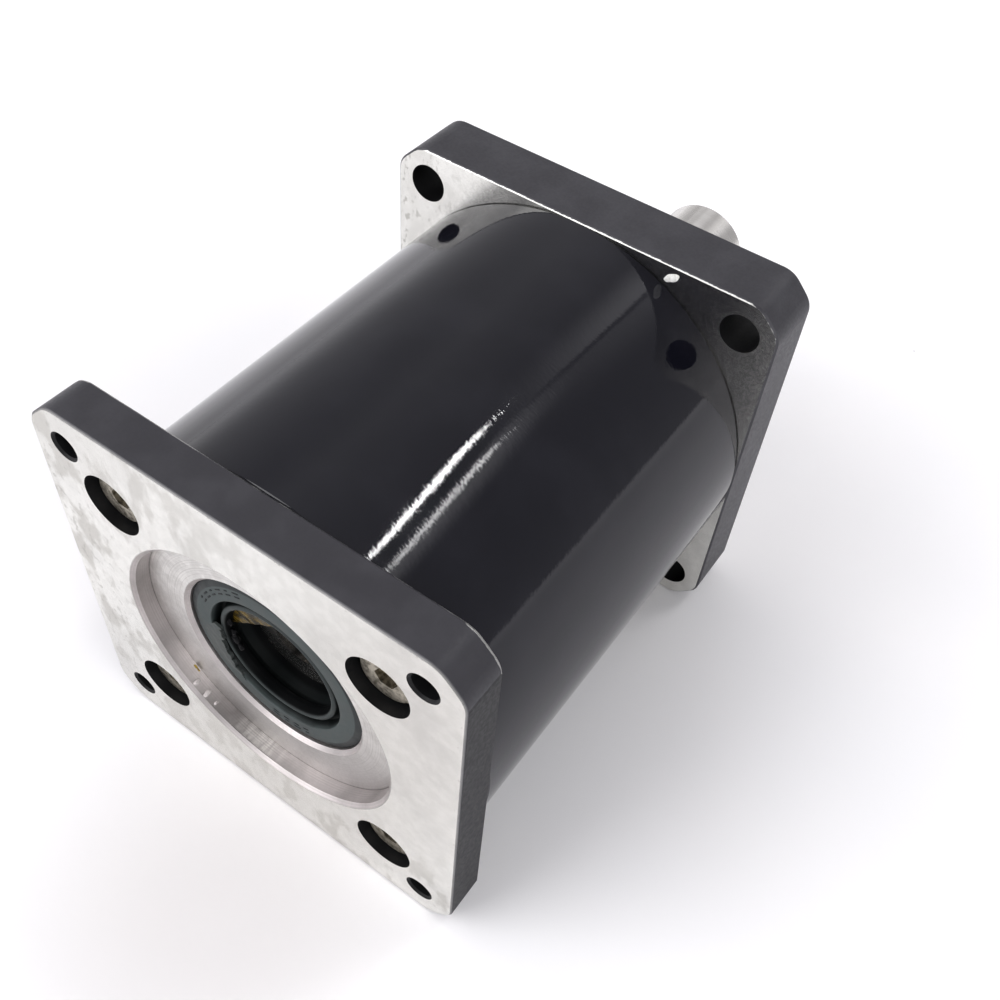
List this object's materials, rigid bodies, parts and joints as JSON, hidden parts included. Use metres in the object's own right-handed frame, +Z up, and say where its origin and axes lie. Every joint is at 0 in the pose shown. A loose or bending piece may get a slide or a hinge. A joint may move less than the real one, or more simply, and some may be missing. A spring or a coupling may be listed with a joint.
{
  "type": "planetary gearbox",
  "caption": "Inline single-stage planetary gearbox: black ring-gear body between square flanges, motor recess with shaft seal at one end, keyed output shaft at the other.",
  "frame": {"origin": "on the shaft axis in the plane of the output mounting face", "axes": "+X along the output shaft, outwards; +Z up with the gearbox lying on the lower flats of its two flanges"},
  "size_m": [0.1055, 0.057, 0.057],
  "materials": {
    "flange_aluminium": "machined faces, black anodised sides",
    "body_black": "high-gloss black over turned steel",
    "screw_steel": "zinc plated",
    "seal_rubber": "moulded, dark green-grey",
    "pressed_steel": "pressed",
    "bearing_steel": "ground and polished",
    "spring_steel": "phosphated",
    "turned_steel": "turned",
    "ground_steel": "ground",
    "gear_steel": "hobbed and hardened",
    "bronze": "sintered bronze",
    "cage_polymer": "moulded polyamide",
    "black_oxide": "black oxide"
  },
  "bodies": {
    "housing": {"input_flange": "flange_aluminium", "input_flange_screws": "screw_steel", "input_seal": "seal_rubber", "input_seal_case": "pressed_steel", "input_seal_spring": "pressed_steel", "ring_gear_body": "body_black", "output_flange": "flange_aluminium", "output_flange_screws": "screw_steel", "output_seal": "seal_rubber", "output_seal_case": "pressed_steel", "output_seal_spring": "pressed_steel", "front_bearing_outer_race": "bearing_steel", "rear_bearing_outer_race": "bearing_steel", "bearing_outer_spacer": "turned_steel", "housing_retaining_ring": "spring_steel"},
    "output_carrier": {"output_shaft": "ground_steel", "shaft_retaining_ring": "spring_steel", "front_bearing_inner_race": "bearing_steel", "rear_bearing_inner_race": "bearing_steel", "bearing_inner_spacer": "turned_steel", "carrier_plate": "turned_steel", "carrier_plate_screws": "screw_steel", "planet_pins": "ground_steel", "planet_thrust_washers": "turned_steel"},
    "planet_1": {"planet_gear_1": "gear_steel", "planet_bush_1": "bronze"},
    "planet_2": {"planet_gear_2": "gear_steel", "planet_bush_2": "bronze"},
    "planet_3": {"planet_gear_3": "gear_steel", "planet_bush_3": "bronze"},
    "sun_cartridge": {"sun_pinion": "gear_steel", "sun_collar": "ground_steel", "collar_set_screw": "black_oxide"},
    "front_ball_set": {"front_bearing_cage": "cage_polymer", "front_bearing_balls": "bearing_steel"},
    "rear_ball_set": {"rear_bearing_cage": "cage_polymer", "rear_bearing_balls": "bearing_steel"}
  },
  "joints": [
    {"name": "output_spin", "type": "hinge", "parent": "housing", "child": "output_carrier", "pos_m": [0, 0, 0], "axis": [1, 0, 0], "continuous": true},
    {"name": "planet_1_spin", "type": "hinge", "parent": "output_carrier", "child": "planet_1", "pos_m": [-0.0461, 0, 0.009], "axis": [1, 0, 0], "continuous": true},
    {"name": "planet_2_spin", "type": "hinge", "parent": "output_carrier", "child": "planet_2", "pos_m": [-0.0461, -0.00779, -0.0045], "axis": [1, 0, 0], "continuous": true},
    {"name": "planet_3_spin", "type": "hinge", "parent": "output_carrier", "child": "planet_3", "pos_m": [-0.0461, 0.00779, -0.0045], "axis": [1, 0, 0], "continuous": true},
    {"name": "sun_spin", "type": "hinge", "parent": "housing", "child": "sun_cartridge", "pos_m": [-0.0577, 0, 0], "axis": [1, 0, 0], "continuous": true},
    {"name": "front_ball_set_spin", "type": "hinge", "parent": "housing", "child": "front_ball_set", "pos_m": [-0.011, 0, 0], "axis": [1, 0, 0], "continuous": true},
    {"name": "rear_ball_set_spin", "type": "hinge", "parent": "housing", "child": "rear_ball_set", "pos_m": [-0.029, 0, 0], "axis": [1, 0, 0], "continuous": true}
  ],
  "couplings": [
    {"joint": "planet_1_spin", "follows": "output_spin", "ratio": -2.2857},
    {"joint": "planet_2_spin", "follows": "output_spin", "ratio": -2.2857},
    {"joint": "planet_3_spin", "follows": "output_spin", "ratio": -2.2857},
    {"joint": "sun_spin", "follows": "output_spin", "ratio": 9},
    {"joint": "front_ball_set_spin", "follows": "output_spin", "ratio": 0.39868},
    {"joint": "rear_ball_set_spin", "follows": "output_spin", "ratio": 0.39868}
  ]
}
